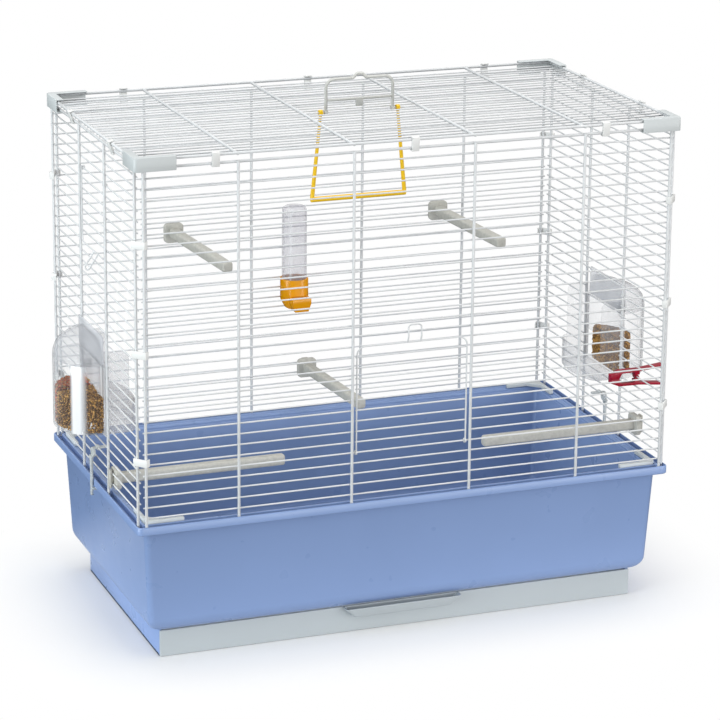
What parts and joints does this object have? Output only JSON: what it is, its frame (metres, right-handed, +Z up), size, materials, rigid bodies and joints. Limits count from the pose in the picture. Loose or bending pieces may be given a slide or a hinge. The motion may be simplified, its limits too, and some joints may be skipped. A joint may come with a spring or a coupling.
{
  "type": "bird cage",
  "caption": "Rectangular wire bird cage on a blue moulded tray with a pull-out drawer, wire doors, perches, seed feeders, a drinker, a swing and a carrying handle.",
  "frame": {"origin": "on the floor under the middle of the cage", "axes": "+X along the length to the right as seen from the front, +Z up, the front with the door and the drawer faces -Y"},
  "size_m": [0.682, 0.3334, 0.5778],
  "materials": {
    "blue_plastic": "smooth moulded",
    "pale_grey_plastic": "smooth moulded",
    "white_plastic": "smooth moulded",
    "coated_wire": "white coating",
    "perch_plastic": "satin",
    "orange_plastic": "glossy, slightly translucent",
    "yellow_plastic": "glossy",
    "clear_plastic": "clear",
    "red_plastic": "glossy",
    "handle_plastic": "satin"
  },
  "bodies": {
    "cage": {"tray_base": "blue_plastic", "front_panel": "coated_wire", "back_panel": "coated_wire", "left_panel": "coated_wire", "right_panel": "coated_wire", "top_panel": "coated_wire", "top_cap_front_left": "pale_grey_plastic", "top_cap_front_right": "pale_grey_plastic", "top_cap_back_left": "pale_grey_plastic", "top_cap_back_right": "pale_grey_plastic", "foot_bracket_front_left": "pale_grey_plastic", "foot_bracket_front_right": "pale_grey_plastic", "foot_bracket_back_left": "pale_grey_plastic", "foot_bracket_back_right": "pale_grey_plastic", "top_clip_front_left": "white_plastic", "top_clip_front_middle": "white_plastic", "top_clip_front_right": "white_plastic", "top_clip_back_left": "white_plastic", "top_clip_back_middle": "white_plastic", "top_clip_back_right": "white_plastic", "top_clip_left_front": "white_plastic", "top_clip_left_back": "white_plastic", "top_clip_right_front": "white_plastic", "top_clip_right_back": "white_plastic", "corner_clip_front_left_low": "white_plastic", "corner_clip_front_left_middle": "white_plastic", "corner_clip_front_left_high": "white_plastic", "corner_clip_front_right_low": "white_plastic", "corner_clip_front_right_middle": "white_plastic", "corner_clip_front_right_high": "white_plastic", "corner_clip_back_left_low": "white_plastic", "corner_clip_back_left_middle": "white_plastic", "corner_clip_back_left_high": "white_plastic", "corner_clip_back_right_low": "white_plastic", "corner_clip_back_right_middle": "white_plastic", "corner_clip_back_right_high": "white_plastic", "perch_upper_left": "perch_plastic", "perch_upper_right": "perch_plastic", "perch_middle": "perch_plastic", "perch_lower_left": "perch_plastic", "perch_lower_right": "perch_plastic", "drinker_cup": "orange_plastic", "feeder_left": "clear_plastic", "feeder_right": "clear_plastic"},
    "drawer": {"drawer": "pale_grey_plastic"},
    "front_door": {"front_door": "coated_wire"},
    "left_flap_door": {"left_flap_door": "coated_wire"},
    "carry_handle": {"carry_handle": "handle_plastic"},
    "swing": {"swing": "yellow_plastic"},
    "latch_left": {"latch_left": "pale_grey_plastic"},
    "latch_right": {"latch_right": "pale_grey_plastic"},
    "feeder_lid_left": {"feeder_lid_left": "clear_plastic"},
    "feeder_lid_right": {"feeder_lid_right": "clear_plastic"},
    "food_clip_upper_jaw": {"food_clip_upper_jaw": "red_plastic"},
    "food_clip_lower_jaw": {"food_clip_lower_jaw": "red_plastic"},
    "drinker_tube": {"drinker_tube": "clear_plastic"}
  },
  "joints": [
    {"name": "drawer_slide", "type": "slide", "parent": "cage", "child": "drawer", "axis": [0, -1, 0], "range_m": [0, 0.22]},
    {"name": "front_door_hinge", "type": "hinge", "parent": "cage", "child": "front_door", "pos_m": [0, -0.16005, 0.209], "axis": [1, 0, 0], "range_deg": [0, 150]},
    {"name": "left_flap_hinge", "type": "hinge", "parent": "cage", "child": "left_flap_door", "pos_m": [-0.29455, 0, 0.48654], "axis": [0, 1, 0], "range_deg": [0, 110]},
    {"name": "carry_handle_hinge", "type": "hinge", "parent": "cage", "child": "carry_handle", "pos_m": [0, 0, 0.53605], "axis": [1, 0, 0], "range_deg": [-75, 75]},
    {"name": "swing_hinge", "type": "hinge", "parent": "cage", "child": "swing", "pos_m": [0, 0, 0.53605], "axis": [1, 0, 0], "range_deg": [-40, 40]},
    {"name": "latch_left_hinge", "type": "hinge", "parent": "cage", "child": "latch_left", "pos_m": [-0.29455, 0, 0.18936], "axis": [0, 1, 0], "range_deg": [0, 60]},
    {"name": "latch_right_hinge", "type": "hinge", "parent": "cage", "child": "latch_right", "pos_m": [0.29455, 0, 0.18936], "axis": [0, -1, 0], "range_deg": [0, 60]},
    {"name": "feeder_lid_left_hinge", "type": "hinge", "parent": "cage", "child": "feeder_lid_left", "pos_m": [-0.29945, 0, 0.3238], "axis": [0, 1, 0], "range_deg": [0, 80]},
    {"name": "feeder_lid_right_hinge", "type": "hinge", "parent": "cage", "child": "feeder_lid_right", "pos_m": [0.29945, 0, 0.3238], "axis": [0, -1, 0], "range_deg": [0, 80]},
    {"name": "food_clip_upper_hinge", "type": "hinge", "parent": "cage", "child": "food_clip_upper_jaw", "pos_m": [0.29455, -0.09, 0.23508], "axis": [0, 1, 0], "range_deg": [0, 8], "stiffness_Nm_per_rad": 0.2, "springref_deg": -11.46},
    {"name": "food_clip_lower_hinge", "type": "hinge", "parent": "cage", "child": "food_clip_lower_jaw", "pos_m": [0.29455, -0.09, 0.23508], "axis": [0, 1, 0], "range_deg": [-8, 0]},
    {"name": "drinker_tube_lift", "type": "slide", "parent": "cage", "child": "drinker_tube", "axis": [0, 0, 1], "range_m": [0, 0.04]}
  ],
  "couplings": [
    {"joint": "food_clip_lower_hinge", "follows": "food_clip_upper_hinge", "ratio": -1}
  ]
}
